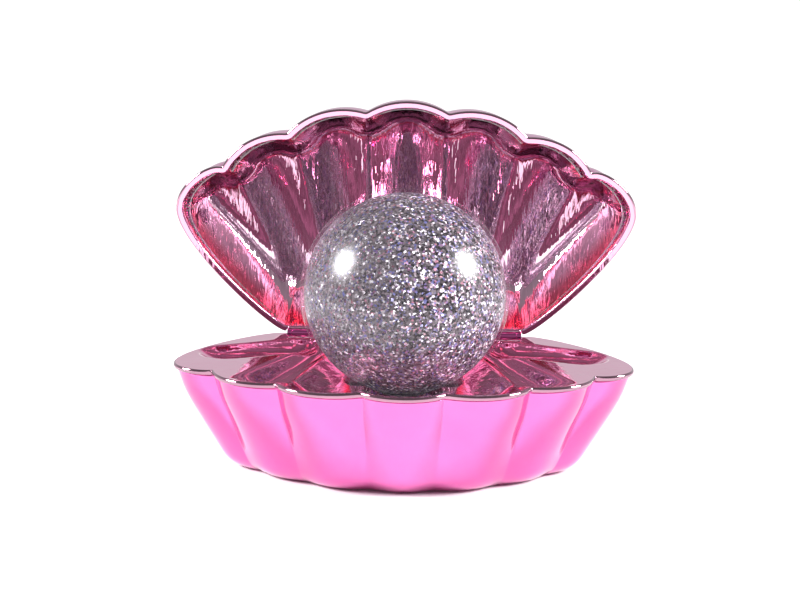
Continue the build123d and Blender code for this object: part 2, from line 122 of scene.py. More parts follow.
LINER_RIDGES = [((12.5, 0.0), (13.4, 78.1)), ((23.6, 0.0), (38.9, 70.6)), ((35.0, 0.0), (60.2, 58.6))]
LINER_FACE = 1.5          # flat face inside the upper bead
LINER_RISE = 9.0          # run over which the liner's flutes gain their depth
SIDE_FLUTE = 4.0          # how far past the rim the outermost flute would run
WALL_STEEP = 1.6          # fall of the wall inside the liner's rim, per millimetre inward
WALL_SOFT = 1.6           # softness of its foot
BOWL_RIM = 5.0            # depth of the bowl at its edge
BOWL_MIDDLE = 16.5        # further depth at its middle
BOWL_AT = (86.0, 50.0, 36.0)   # half width, half height and centre of the bowl, as x and t
FLUTE_SHARE = 0.135       # depth of a liner flute as a share of its width
RIDGE_ROUND = 1.5         # roundness of the ridges between flutes
TRAY_STEPS = 110          # rings across the tray
LINER_STEPS = 120         # rings across the liner
SHEET_POWER = 1.35        # how strongly those rings crowd toward the rim
FACE_EDGE = 0.990         # outline of the bead's flat face, as a share of the rim's
POLE = 0.2                # radius that stands in for the middle of a closed surface
POLE_ANGLE = 0.004        # the same for a ball, in radians
CORE_GAP = 0.05           # between the pearl's skin and its glitter

# ---------------------------------------------------------------- studio and camera
LAMP_SIZE = 0.36          # across, in metres
LAMP_POWER = 19.0
LAMP_AT = (0.885, -0.088, 0.459)    # from the pearl, in metres, mirrored for the other side
FLOOR_RADII = (0.01, 150.0, 300.0, 450.0, 600.0)
FLOOR_DROP = 0.02
CAMERA_DISTANCE = 600.0
CAMERA_TILT = math.radians(13.35)
CAMERA_ROLL = math.radians(0.93)
CAMERA_LENS = 79.68
CAMERA_SHIFT = (-0.0053, 0.0429)


# ---------------------------------------------------------------- outlines
def mirror(point):
    return (-point[0], point[1])


def lobe_peak(a, b, bulge):
    """Crown of the arc that bulges forward between two notches."""
    chord = math.hypot(b[0] - a[0], b[1] - a[1])
    nx, nt = (a[1] - b[1]) / chord, (b[0] - a[0]) / chord
    if nt < 0:
        nx, nt = -nx, -nt
    return ((a[0] + b[0]) / 2 + nx * bulge * chord, (a[1] + b[1]) / 2 + nt * bulge * chord)


def line_points(a, b, count=60):
    u = np.linspace(0, 1, count)[:, None]
    return (1 - u) * np.array(a) + u * np.array(b)


def bezier_points(a, b, c, d, count=200):
    u = np.linspace(0, 1, count)[:, None]
    a, b, c, d = (np.array(p) for p in (a, b, c, d))
    return (1 - u) ** 3 * a + 3 * (1 - u) ** 2 * u * b + 3 * (1 - u) * u ** 2 * c + u ** 3 * d


def arc_points(a, b, bulge, count=200):
    """Arc from a to b that rises by bulge times the chord."""
    a, b = np.array(a), np.array(b)
    chord = np.linalg.norm(b - a)
    rise = bulge * chord
    radius = (chord ** 2 / 4 + rise ** 2) / (2 * rise)
    out = (np.array(lobe_peak(a, b, bulge)) - (a + b) / 2) / rise
    centre = (a + b) / 2 + out * (rise - radius)
    half = math.asin(chord / 2 / radius)
    sweep = np.linspace(-half, half, count)[:, None]
    along = (b - a) / chord
    return centre + radius * (np.cos(sweep) * out + np.sin(sweep) * along)


def spaced(points, count):
    """Points evenly spaced along a polyline."""
    steps = np.linalg.norm(np.diff(points, axis=0), axis=1)
    travel = np.concatenate([[0], np.cumsum(steps)])
    at = np.linspace(0, travel[-1], count)
    return np.column_stack([np.interp(at, travel, points[:, 0]), np.interp(at, travel, points[:, 1])])


def softened(points, spread):
    """A closed loop smoothed by a Gaussian of that spread."""
    step = np.linalg.norm(points[1] - points[0])
    reach = int(4 * spread / step) + 1
    offsets = np.arange(-reach, reach + 1)
    weights = np.exp(-0.5 * (offsets * step / spread) ** 2)
    weights /= weights.sum()
    return sum(w * np.roll(points, k, axis=0) for k, w in zip(offsets, weights))


def rim_loop(rim):
    """Closed outline from the middle of the rear edge, up the right side and back down the left."""
    corner, tip = rim["corner"], rim["tip"]
    n1, n2, n3 = rim["notches"]
    side, above_tip = rim["side"], rim["above_tip"]
    below_tip = (tip[0] + TIP_HANDLE[0], tip[1] + TIP_HANDLE[1])
    to_notch = (n1[0] + NOTCH_HANDLE[0], n1[1] + NOTCH_HANDLE[1])
    front = arc_points(n3, mirror(n3), rim["bulge"], 401)[:201]
    half = np.concatenate([
        line_points((0.0, 0.0), corner),
        bezier_points(corner, side, above_tip, tip),
        bezier_points(tip, below_tip, to_notch, n1),
        arc_points(n1, n2, rim["bulge"]),
        arc_points(n2, n3, rim["bulge"]),
        front,
    ])
    right = spaced(half, ROUNDS // 2 + 1)
    left = right[-2:0:-1] * np.array([-1, 1])
    return softened(np.concatenate([right, left]), NOTCH_SOFT)


def shrunk(loop, scale, inset=1.0):
    """The loop after shrinking with depth and insetting for a wall, as x and t columns."""
    t = SHRINK_T + (loop[:, 1] - SHRINK_T) * scale
    t = INSET_T + (t - INSET_T) * inset
    return np.column_stack([loop[:, 0] * scale * inset, t])


def circle_at(loop, radius, t=PEARL_T):
    """A circle about a centre on the middle line, its points in line with the loop's."""
    angle = np.arctan2(loop[:, 1] - t, loop[:, 0])
    return np.column_stack([radius * np.cos(angle), t + radius * np.sin(angle)])


def curve_through(stations, steps):
    """Smooth curve through (depth, scale) stations, never deeper than the last one."""
    points = np.array(stations, float)
    padded = np.concatenate([[2 * points[0] - points[1]], points, [2 * points[-1] - points[-2]]])
    made = []
    for a, b, c, d in zip(padded, padded[1:], padded[2:], padded[3:]):
        for u in np.linspace(0, 1, steps, endpoint=False):
            made.append(0.5 * (2 * b + (c - a) * u + (2 * a - 5 * b + 4 * c - d) * u ** 2
                               + (3 * b - a - 3 * c + d) * u ** 3))
    made.append(points[-1])
    made = np.array(made)
    made[:, 0] = np.clip(made[:, 0], points[0, 0], points[-1, 0])
    return made


def notched(points, depth):
    """Moves points that lie in the hinge notch forward on to its wall, as x and t columns."""
    depth = np.broadcast_to(depth, len(points))
    wall = np.sqrt(np.maximum(NOTCH_R ** 2 - depth ** 2, 0)) - AXIS_GAP
    side = np.clip((NOTCH_HALF + NOTCH_END - np.abs(points[:, 0])) / NOTCH_END, 0, 1)
    pushed = np.maximum(points[:, 1], wall * side - NOTCH_CLEAR * (1 - side))
    return np.column_stack([points[:, 0], np.where(side > 0, pushed, points[:, 1])])


# ---------------------------------------------------------------- places
def base_place(x, t, depth):
    """World position of a point of the lower half."""
    x, t, depth = np.broadcast_arrays(x, t, depth)
    return np.column_stack([x, BACK_Y - t, RIM_Z - depth])


def lid_place(x, t, depth):
    """World position of a point of the upper half at its resting angle."""
    x, t, depth = np.broadcast_arrays(x, t, depth)
    along = t + AXIS_GAP
    y = AXIS_Y - math.cos(OPEN_ANGLE) * along + math.sin(OPEN_ANGLE) * depth
    z = RIM_Z + math.sin(OPEN_ANGLE) * along + math.cos(OPEN_ANGLE) * depth
    return np.column_stack([x, y, z])


# ---------------------------------------------------------------- meshes
class Builder:
    """Gathers ring surfaces into one mesh."""

    def __init__(self):
        self.points = []
        self.faces = []
        self.count = 0

    def rings(self, rings, looped=False):
        """A skin over closed rings of equal length; looped joins the last ring to the first."""
        size = len(rings[0])
        first = self.count
        for ring in rings:
            self.points.append(np.asarray(ring, float))
        self.count += size * len(rings)
        pairs = [(k, k + 1) for k in range(len(rings) - 1)]
        if looped:
            pairs.append((len(rings) - 1, 0))
        edge = np.arange(size)
        after = (edge + 1) % size
        for low, high in pairs:
            a, b = first + low * size, first + high * size
            self.faces.append(np.column_stack([a + edge, a + after, b + after, b + edge]))

    def object(self, name, second_faces=0):
        """The mesh object; its first `second_faces` faces take the second material."""
        points = np.concatenate(self.points) * 0.001
        faces = np.concatenate(self.faces)
        mesh = bpy.data.meshes.new(name)
        mesh.vertices.add(len(points))
        mesh.vertices.foreach_set("co", points.astype(np.float32).ravel())
        mesh.loops.add(faces.size)
        mesh.loops.foreach_set("vertex_index", faces.astype(np.int32).ravel())
        mesh.polygons.add(len(faces))
        mesh.polygons.foreach_set("loop_start", np.arange(0, faces.size, 4, dtype=np.int32))
        mesh.polygons.foreach_set("use_smooth", np.ones(len(faces), bool))
        kinds = np.zeros(len(faces), np.int32)
        kinds[:second_faces] = 1
        mesh.polygons.foreach_set("material_index", kinds)
        mesh.update(calc_edges=True)
        mesh.validate()
        made = bpy.data.objects.new(name, mesh)
        bpy.context.scene.collection.objects.link(made)
        return made


def recalculated(made):
    """Faces of the object turned outwards."""
    work = bmesh.new()
    work.from_mesh(made.data)
    bmesh.ops.remove_doubles(work, verts=work.verts, dist=1e-7)
    bmesh.ops.recalc_face_normals(work, faces=work.faces)
    work.to_mesh(made.data)
    work.free()
    return made


def axis_rings(place, x0, x1):
    """Rings of a knuckle with its web: the outline in (t, depth), carried along the hinge axis."""
    sweep = np.radians(np.linspace(-70, 212, 60))
    nose = np.column_stack([KNUCKLE_R * np.cos(sweep), -KNUCKLE_R * np.sin(sweep)])
    feet = [(-WEB_BACK, WEB_END), (WEB_FRONT, WEB_END)]
    outline = np.concatenate([nose, feet, nose[:1]])
    outline = softened(spaced(outline, 161)[:-1], KNUCKLE_SOFT)
    bore_angle = np.arctan2(outline[:, 1], outline[:, 0])
    bore = PIN_BORE * np.column_stack([np.cos(bore_angle), np.sin(bore_angle)])
    stations = [(x0 + step, pull) for step, pull in KNUCKLE_ENDS]
    stations += [(x1 - step, pull) for step, pull in KNUCKLE_ENDS[::-1]]
    rings = []
    for x, pull in stations:
        rings.append(place(x, outline[:, 0] * pull - AXIS_GAP, outline[:, 1] * pull))
    for x in (x1, x0):
        rings.append(place(x, bore[:, 0] - AXIS_GAP, bore[:, 1]))
    return rings


def spun(profile, at, axis, count=96):
    """Rings of a (radius, height) profile turned about the y or z axis."""
    angle = np.linspace(0, 2 * math.pi, count, endpoint=False)
    rings = []
    for radius, height in profile:
        u, v = radius * np.cos(angle), radius * np.sin(angle)
        flat = np.full(count, height)
        columns = (u, v, flat) if axis == "z" else (u, flat, v)
        rings.append(np.column_stack(columns) + np.array(at))
    return rings


# ---------------------------------------------------------------- shells
def shell_rings(loop, place, profile, inner_depth):
    """Outer skin from under the bead to the closed end, and the inner skin back to the bead."""
    outer = curve_through(profile, 12)
    rounder = softened(loop, GROOVE_FADE) if place is base_place else loop
    filled, start, run = GROOVE_FILL
    rings = []
    for depth, scale in outer:
        share = filled * ease((depth - start) / run)
        rings.append(place(*notched(shrunk((1 - share) * loop + share * rounder, scale), depth).T, depth))
    inner = [(depth, scale) for depth, scale in outer[::2] if depth < inner_depth]
    back = [place(*shrunk(loop, scale, INSET).T, depth) for depth, scale in inner[::-1]]
    return rings, back, inner[-1]


def lower_shell():
    """The fluted bowl with its knuckles, the air port's boss and the four screw posts."""
    loop = rim_loop(LOWER_RIM)
    outer, inner, last = shell_rings(loop, base_place, LOWER_PROFILE, SHELL_DEPTH - SHELL_FLOOR)
    under = shrunk(loop, LOWER_PROFILE[-1][1])
    floor = shrunk(loop, last[1], INSET)
    floor_depth = SHELL_DEPTH - SHELL_FLOOR
    rings = list(outer)
    for share in (0.35, 0.7, 1.0):
        rings.append(base_place(*((1 - share) * under + share * circle_at(loop, PLATE_R)).T, SHELL_DEPTH))
    rings.append(base_place(*circle_at(loop, PLATE_R).T, SHELL_DEPTH - PLATE_T))
    rings.append(base_place(*circle_at(loop, OPENING_R).T, SHELL_DEPTH - PLATE_T))
    rings.append(base_place(*circle_at(loop, OPENING_R).T, floor_depth))
    for share in (0.5, 0.95):
        blend = (1 - share) * circle_at(loop, OPENING_R) + share * floor
        rings.append(base_place(*blend.T, floor_depth))
    rings += inner
    shell = Builder()
    shell.rings(rings, looped=True)
    for x0, x1 in BASE_KNUCKLES:
        shell.rings(axis_rings(base_place, x0, x1), looped=True)
    edge, corner = PORT_EDGE
    port = [(PORT_BORE, PORT_INNER), (PORT_R, PORT_INNER), (PORT_R, PORT_FACE - edge),
            (PORT_R - corner, PORT_FACE - corner), (PORT_R - edge, PORT_FACE), (PORT_BORE, PORT_FACE)]
    shell.rings(spun(port, (0, 0, PORT_Z), "y"), looped=True)
    foot = PAD_DROP + PLATE_T
    post = [(POST_BORE, foot), (POST_R, foot), (POST_R, POST_TOP - POST_EDGE),
            (POST_R - POST_EDGE, POST_TOP), (POST_BORE, POST_TOP)]
    for quarter in range(4):
        turn = math.pi / 4 + quarter * math.pi / 2
        at = (SCREW_RING * math.cos(turn), PEARL_Y + SCREW_RING * math.sin(turn), 0)
        shell.rings(spun(post, at, "z", 32), looped=True)
    return recalculated(shell.object("shell_lower_skin"))


def upper_shell():
    """The outer skin of the lid, closed at its far end, with its knuckles."""
    loop = rim_loop(UPPER_RIM)
    outer, inner, last = shell_rings(loop, lid_place, UPPER_PROFILE, UPPER_PROFILE[-1][0] - SHELL_FLOOR)
    end_depth = UPPER_PROFILE[-1][0]
    rings = list(outer)
    pole = circle_at(loop, POLE, SHRINK_T)
    rings.append(lid_place(*pole.T, end_depth))
    rings.append(lid_place(*pole.T, end_depth - SHELL_FLOOR))
    for share in (0.5, 0.95):
        blend = (1 - share) * pole + share * shrunk(loop, last[1], INSET)
        rings.append(lid_place(*blend.T, end_depth - SHELL_FLOOR))
    rings += inner
    shell = Builder()
    shell.rings(rings, looped=True)
    for x0, x1 in LID_KNUCKLES:
        shell.rings(axis_rings(lid_place, x0, x1), looped=True)
    return recalculated(shell.object("shell_upper_skin"))


# ---------------------------------------------------------------- tray and liner
def bead_rings(loop, place):
    """The half-round edge of a tray, from its underside over the outside to its face."""
    rings = []
    for share in np.linspace(1, 0, 17):
        turn = math.pi * share
        depth = BEAD / 2 * (1 - math.cos(turn))
        edge = shrunk(loop, FACE_EDGE + (1 - FACE_EDGE) * math.sin(turn))
        rings.append(place(*notched(edge, depth).T, depth))
    return rings


def edge_distance(points, loop):
    """Distance from each point to the loop."""
    nearest = np.empty(len(points))
    batch = 4000
    for start in range(0, len(points), batch):
        part = points[start:start + batch]
        gaps = part[:, None, :] - loop[None, ::2, :]
        nearest[start:start + batch] = np.sqrt((gaps ** 2).sum(axis=2).min(axis=1))
    return nearest


def inward_grid(loop, target, steps):
    """Loops from the rim's face to a target loop, closest together near the rim."""
    shares = np.linspace(0, 1, steps) ** SHEET_POWER
    start = notched(shrunk(loop, FACE_EDGE), 0.0)
    return [(1 - share) * start + share * target for share in shares]


def line_gap(x, t, line):
    """Signed distance from a line, positive on the outer side."""
    (x0, t0), (x1, t1) = line
    length = math.hypot(x1 - x0, t1 - t0)
    return ((x - x0) * (t1 - t0) - (t - t0) * (x1 - x0)) / length


def ease(value):
    """Rises from 0 to 1 with level ends."""
    value = np.clip(value, 0, 1)
    return value * value * (3 - 2 * value)


def hollow_between(lobes, share):
    """Depth of hollow flutes between pairs of ridges, given the distances to each side."""
    flutes = 0.0
    for a, b in lobes:
        held = (a > 0) & (b > 0)
        a = np.sqrt(np.maximum(a, 0) ** 2 + RIDGE_ROUND ** 2) - RIDGE_ROUND
        b = np.sqrt(np.maximum(b, 0) ** 2 + RIDGE_ROUND ** 2) - RIDGE_ROUND
        hollow = 4 * share * a * b / np.maximum(a + b, 0.01)
        flutes = np.maximum(flutes, np.where(held, hollow, 0.0))
    return flutes


def side_leaf(x, t):
    """Depth of the shallow hollow in a side lobe, swept by a sphere."""
    root, end, half, drop = SIDE_LEAF
    radius = (half ** 2 + drop ** 2) / (2 * drop)
    deepest = np.full(len(x), -np.inf)
    for share in np.linspace(0, 1, 40):
        at_x = root[0] + (end[0] - root[0]) * share
        at_t = root[1] + (end[1] - root[1]) * share
        inside = np.maximum(radius ** 2 - (x - at_x) ** 2 - (t - at_t) ** 2, 0)
        deepest = np.maximum(deepest, np.sqrt(inside) - radius + drop)
    return deepest


def tray_depth(x, t, rim_gap):
    """Depth of the tray below its land, with the flutes, the pearl's hollow and the seat ring."""
    x = np.abs(x)
    gaps = [line_gap(x, t, line) for line in TRAY_RIDGES]
    lobes = [
        (-line_gap(-x, t, TRAY_RIDGES[0]), -gaps[0]),
        (gaps[0], -gaps[1]),
        (gaps[1], -gaps[2]),
    ]
    level, reach = TRAY_BOWL
    bowl = level * ease(rim_gap / reach) * ease(-gaps[2] / LAND_WEDGE)
    fade = np.clip((rim_gap - TRAY_LAND) / TRAY_RISE, 0, 1)
    flutes = hollow_between(lobes, TRAY_FLUTE_SHARE) * fade * (2 - fade)
    leaf = LEAF_SOFT * np.log(1 + np.exp(side_leaf(x, t) / LEAF_SOFT))
    leaf = leaf * np.clip(rim_gap - LEAF_LAND, 0, 1)
    sunk = np.maximum(bowl + flutes, leaf)
    from_axis = np.hypot(x, t - PEARL_T)
    hollow = np.sqrt(np.maximum((PEARL_R + PEARL_GAP) ** 2 - from_axis ** 2, 0)) - (PEARL_Z - RIM_Z)
    sunk = np.maximum(sunk, hollow)
    return np.where(from_axis < BOSS_R, np.minimum(sunk, BOSS_DEPTH), sunk)


def liner_depth(x, t, rim_gap):
    """Depth of the liner: a bowl inside a steep wall, with seven hollow flutes."""
    x = np.abs(x)
    half_x, half_t, middle_t = BOWL_AT
    away = (x / half_x) ** 2 + ((t - middle_t) / half_t) ** 2
    bowl = BOWL_RIM + BOWL_MIDDLE * np.maximum(1 - away, 0)
    wall = WALL_STEEP * (rim_gap - LINER_FACE)
    dome = np.maximum(-WALL_SOFT * np.logaddexp(-wall / WALL_SOFT, -bowl / WALL_SOFT), 0)
    gaps = [line_gap(x, t, line) for line in LINER_RIDGES]
    lobes = [
        (-line_gap(-x, t, LINER_RIDGES[0]), -gaps[0]),
        (gaps[0], -gaps[1]),
        (gaps[1], -gaps[2]),
        (gaps[2], rim_gap + SIDE_FLUTE),
    ]
    fade = np.clip((rim_gap - LINER_FACE) / LINER_RISE, 0, 1)
    return dome + hollow_between(lobes, FLUTE_SHARE) * fade * (2 - fade)


def sunk_sheet(rim, place, target_radius, depth_of, steps, name):
    """A tray or liner: bead, face and sunk surface, with an underside one wall further down."""
    loop = rim_loop(rim)
    grid = inward_grid(loop, circle_at(loop, target_radius), steps)
    flat = np.concatenate(grid)
    gap = edge_distance(flat, shrunk(loop, FACE_EDGE))
    sunk = depth_of(flat[:, 0], flat[:, 1], gap).reshape(steps, -1)
    top = [place(*ring.T, depth) for ring, depth in zip(grid, sunk)]
    under = [place(*ring.T, np.maximum(depth + WALL, BEAD)) for ring, depth in zip(grid, sunk)]
    sheet = Builder()
    bead = bead_rings(loop, place)[:-1]
    sheet.rings(bead + top + under[:1:-1], looped=True)
    return recalculated(sheet.object(name, len(bead) * ROUNDS))


# ---------------------------------------------------------------- pearl
def ball_profile(radius, start, count):
    """Profile of a ball from an angle at its foot up to its top."""
    angles = np.linspace(start, math.pi - POLE_ANGLE, count)
    return [(radius * math.sin(a), -radius * math.cos(a)) for a in angles]


def pearl_layers():
    """The clear skin, open at its foot for the stem, and the glitter under it."""
    within = PEARL_R - PEARL_SKIN
    outer = ball_profile(PEARL_R, math.asin(FLANGE_R / PEARL_R), 180)
    inner = ball_profile(within, math.asin(FLANGE_R / within), 180)[::-1]
    at = (0, PEARL_Y, PEARL_Z)
    skin = Builder()
    skin.rings(spun(outer + inner, at, "z", 256), looped=True)
    core = Builder()
    core.rings(spun(ball_profile(within - CORE_GAP, POLE_ANGLE, 200), at, "z", 256))
    return recalculated(skin.object("pearl_skin")), recalculated(core.object("pearl_glitter"))


# ---------------------------------------------------------------- materials
def new_material(name):
    """A new material with its node tree and its main shader."""
    made = bpy.data.materials.new(name)
    made.use_nodes = True
    tree = made.node_tree
    return made, tree, tree.nodes["Principled BSDF"]


def add_node(tree, kind, **settings):
    """A new node with those settings."""
    made = tree.nodes.new(kind)
    for key, value in settings.items():
        setattr(made, key, value)
    return made


def noise(tree, scale, detail=3.0, stretch=(1.0, 1.0, 1.0)):
    """Noise in object space; the scale is in repeats per metre, times the stretch on each axis."""
    place = add_node(tree, "ShaderNodeTexCoord")
    mapped = add_node(tree, "ShaderNodeMapping")
    mapped.inputs["Scale"].default_value = stretch
    tree.links.new(place.outputs["Object"], mapped.inputs["Vector"])
    made = add_node(tree, "ShaderNodeTexNoise")
    made.inputs["Scale"].default_value = scale
    made.inputs["Detail"].default_value = detail
    tree.links.new(mapped.outputs["Vector"], made.inputs["Vector"])
    return made


def grey(value):
    return (value, value, value)


def ramp(tree, source, stops):
    """A colour ramp fed by the source, with (place, colour) stops."""
    made = add_node(tree, "ShaderNodeValToRGB")
    elements = made.color_ramp.elements
    while len(elements) < len(stops):
        elements.new(0.5)
    for element, (at, colour) in zip(elements, stops):
        element.position = at
        element.color = (*colour, 1)
    tree.links.new(source, made.inputs["Fac"])
    return made


def add_bump(tree, shader, source, strength, distance):
    """Bumps on the shader, with the distance in metres."""
    made = add_node(tree, "ShaderNodeBump")
    made.inputs["Strength"].default_value = strength
    made.inputs["Distance"].default_value = distance
    tree.links.new(source, made.inputs["Height"])
    tree.links.new(made.outputs["Normal"], shader.inputs["Normal"])


def plated(name, ripple_strength, dullness, stretch=(1.0, 1.0, 1.0)):
    """Lacquer over bright, slightly rippled plating; dyed() gives its colour, or painted_depth_shade()
    gives it painted shade by depth.
    """
    made, tree, shader = new_material(name)
    polish = noise(tree, 900.0, 2.0)
    haze = ramp(tree, polish.outputs["Fac"], [(0.3, grey(0.05 * dullness)), (0.75, grey(0.11 * dullness))])
    tree.links.new(haze.outputs["Color"], shader.inputs["Roughness"])
    ripple = noise(tree, 220.0, 2.0, stretch)
    add_bump(tree, shader, ripple.outputs["Fac"], ripple_strength, 0.0004)
    shader.inputs["Metallic"].default_value = 1.0
    shader.inputs["Coat Weight"].default_value = 1.0
    shader.inputs["Coat Roughness"].default_value = 0.03
    shader.inputs["Coat IOR"].default_value = 1.6
    return made


def dyed(made, low, high):
    """The material with unevenly dyed lacquer, between two colours."""
    tree = made.node_tree
    dye_and_shade = noise(tree, 60.0)
    colour = ramp(tree, dye_and_shade.outputs["Fac"], [(0.3, low), (0.7, high)])
    tree.links.new(colour.outputs["Color"], tree.nodes["Principled BSDF"].inputs["Base Color"])
    return made


def painted_depth_shade(made, origin, inward, span, stops):
    """The material with painted shade by depth: its colour changes with depth below the rim, over a span.
    """
    tree = made.node_tree
    shader = tree.nodes["Principled BSDF"]
    place = add_node(tree, "ShaderNodeTexCoord")
    offset = add_node(tree, "ShaderNodeVectorMath", operation="SUBTRACT")
    offset.inputs[1].default_value = [0.001 * value for value in origin]
    tree.links.new(place.outputs["Object"], offset.inputs[0])
    depth = add_node(tree, "ShaderNodeVectorMath", operation="DOT_PRODUCT")
    depth.inputs[1].default_value = inward
    tree.links.new(offset.outputs["Vector"], depth.inputs[0])
    share = add_node(tree, "ShaderNodeMapRange")
    share.inputs["From Max"].default_value = 0.001 * span
    tree.links.new(depth.outputs["Value"], share.inputs["Value"])
    # painted shade: the colour steps with depth below the rim
    dye_and_shade = ramp(tree, share.outputs["Result"], stops)
    tree.links.new(dye_and_shade.outputs["Color"], shader.inputs["Base Color"])
    return made


def glitter():
    """Tightly packed foil flakes, each a Voronoi cell with its own tilt and tint, glowing faintly in that
    tint as painted light.
    """
    made, tree, shader = new_material("glitter_flakes")
    place = add_node(tree, "ShaderNodeTexCoord")
    cells = add_node(tree, "ShaderNodeTexVoronoi")
    cells.inputs["Scale"].default_value = 1650.0
    tree.links.new(place.outputs["Object"], cells.inputs["Vector"])
    split = add_node(tree, "ShaderNodeSeparateColor")
    tree.links.new(cells.outputs["Color"], split.inputs["Color"])
    tint = ramp(tree, split.outputs["Red"], [
        (0.00, (0.02, 0.018, 0.022)),
        (0.20, (0.070, 0.058, 0.064)),
        (0.45, (0.145, 0.122, 0.132)),
        (0.66, (0.235, 0.198, 0.212)),
        (0.78, (0.15, 0.16, 0.40)),
        (0.85, (0.45, 0.18, 0.22)),
        (0.91, (0.58, 0.54, 0.57)),
        (0.97, (1.0, 0.97, 1.0)),
    ])
    tree.links.new(tint.outputs["Color"], shader.inputs["Base Color"])
    tree.links.new(tint.outputs["Color"], shader.inputs["Emission Color"])
    # painted light: the flakes glow in their own tint, lifting the shaded side of the ball
    shader.inputs["Emission Strength"].default_value = 0.3
    surface = add_node(tree, "ShaderNodeNewGeometry")
    spread = add_node(tree, "ShaderNodeVectorMath", operation="SUBTRACT")
    spread.inputs[1].default_value = (0.5, 0.5, 0.5)
    tree.links.new(cells.outputs["Color"], spread.inputs[0])
    tilt = add_node(tree, "ShaderNodeVectorMath", operation="SCALE")
    tilt.inputs["Scale"].default_value = 2.4
    tree.links.new(spread.outputs["Vector"], tilt.inputs[0])
    lean = add_node(tree, "ShaderNodeVectorMath", operation="ADD")
    tree.links.new(surface.outputs["Normal"], lean.inputs[0])
    tree.links.new(tilt.outputs["Vector"], lean.inputs[1])
    unit = add_node(tree, "ShaderNodeVectorMath", operation="NORMALIZE")
    tree.links.new(lean.outputs["Vector"], unit.inputs[0])
    tree.links.new(unit.outputs["Vector"], shader.inputs["Normal"])
    shader.inputs["Metallic"].default_value = 0.25
    shader.inputs["Roughness"].default_value = 0.30
    return made


def clear_gloss():
    """A clear skin: see-through, with a gloss that grows toward the edge."""
    made = bpy.data.materials.new("clear_gloss_skin")
    made.use_nodes = True
    tree = made.node_tree
    tree.nodes.clear()
    out = add_node(tree, "ShaderNodeOutputMaterial")
    through = add_node(tree, "ShaderNodeBsdfTransparent")
    through.inputs["Color"].default_value = (0.97, 0.96, 0.98, 1)
    gloss = add_node(tree, "ShaderNodeBsdfGlossy")
    gloss.inputs["Roughness"].default_value = 0.24
    edge = add_node(tree, "ShaderNodeLayerWeight")
    rise = ramp(tree, edge.outputs["Facing"], [
        (0.0, grey(0.02)),
        (0.6, grey(0.04)),
        (0.85, grey(0.16)),
        (1.0, grey(0.7)),
    ])
    mix = add_node(tree, "ShaderNodeMixShader")
    tree.links.new(rise.outputs["Color"], mix.inputs["Fac"])
    tree.links.new(through.outputs["BSDF"], mix.inputs[1])
    tree.links.new(gloss.outputs["BSDF"], mix.inputs[2])
    tree.links.new(mix.outputs["Shader"], out.inputs["Surface"])
    return made


def moulded(name, colour, roughness, grain, strength, metallic=0.0, transmission=0.0):
    """A plain moulded or turned material with a fine grain."""
    made, tree, shader = new_material(name)
    grains = noise(tree, grain, 4.0)
    dark = tuple(0.75 * channel for channel in colour)
    tone = ramp(tree, grains.outputs["Fac"], [(0.3, dark), (0.7, colour)])
    tree.links.new(tone.outputs["Color"], shader.inputs["Base Color"])
    low, high = roughness
    worn = ramp(tree, grains.outputs["Fac"], [(0.3, grey(low)), (0.7, grey(high))])
    tree.links.new(worn.outputs["Color"], shader.inputs["Roughness"])
    add_bump(tree, shader, grains.outputs["Fac"], strength, 0.0003)
    shader.inputs["Metallic"].default_value = metallic
    shader.inputs["Transmission Weight"].default_value = transmission
    return made


# ---------------------------------------------------------------- studio
def surroundings():
    """A white horizon under a dimmer sky, darker toward the camera's side."""
    world = bpy.data.worlds.new("white_studio")
    bpy.context.scene.world = world
    bpy.context.scene.view_settings.view_transform = "Standard"
    world.use_nodes = True
    tree = world.node_tree
    back = tree.nodes["Background"]
    place = add_node(tree, "ShaderNodeTexCoord")
    split = add_node(tree, "ShaderNodeSeparateXYZ")
    tree.links.new(place.outputs["Generated"], split.inputs["Vector"])
    rise = add_node(tree, "ShaderNodeMapRange")
    rise.inputs["From Min"].default_value = -0.2
    tree.links.new(split.outputs["Z"], rise.inputs["Value"])
    height = ramp(tree, rise.outputs["Result"], [
        (0.19, grey(1.15)),
        (0.27, (0.66, 0.66, 0.68)),
        (0.46, (0.66, 0.66, 0.68)),
        (0.66, (0.42, 0.42, 0.43)),
        (1.0, (0.40, 0.40, 0.41)),
    ])
    front = add_node(tree, "ShaderNodeMapRange")
    front.inputs["From Min"].default_value = -0.7
    front.inputs["From Max"].default_value = 0.3
    front.inputs["To Min"].default_value = 0.42
    front.inputs["To Max"].default_value = 1.0
    tree.links.new(split.outputs["Y"], front.inputs["Value"])
    shade = add_node(tree, "ShaderNodeVectorMath", operation="SCALE")
    tree.links.new(height.outputs["Color"], shade.inputs[0])
    tree.links.new(front.outputs["Result"], shade.inputs["Scale"])
    tree.links.new(shade.outputs["Vector"], back.inputs["Color"])
    back.inputs["Strength"].default_value = 1.0


def soft_box(name, side):
    """A round soft box on one side, turned to the pearl."""
    lamp = bpy.data.lights.new(name, "AREA")
    lamp.shape = "DISK"
    lamp.size = LAMP_SIZE
    lamp.energy = LAMP_POWER
    holder = bpy.data.objects.new(name, lamp)
    aim = Vector((0, PEARL_Y, PEARL_Z)) * 0.001
    holder.location = aim + Vector((side * LAMP_AT[0], LAMP_AT[1], LAMP_AT[2]))
    holder.rotation_mode = "QUATERNION"
    holder.rotation_quaternion = (holder.location - aim).to_track_quat("Z", "Y")
    bpy.context.scene.collection.objects.link(holder)


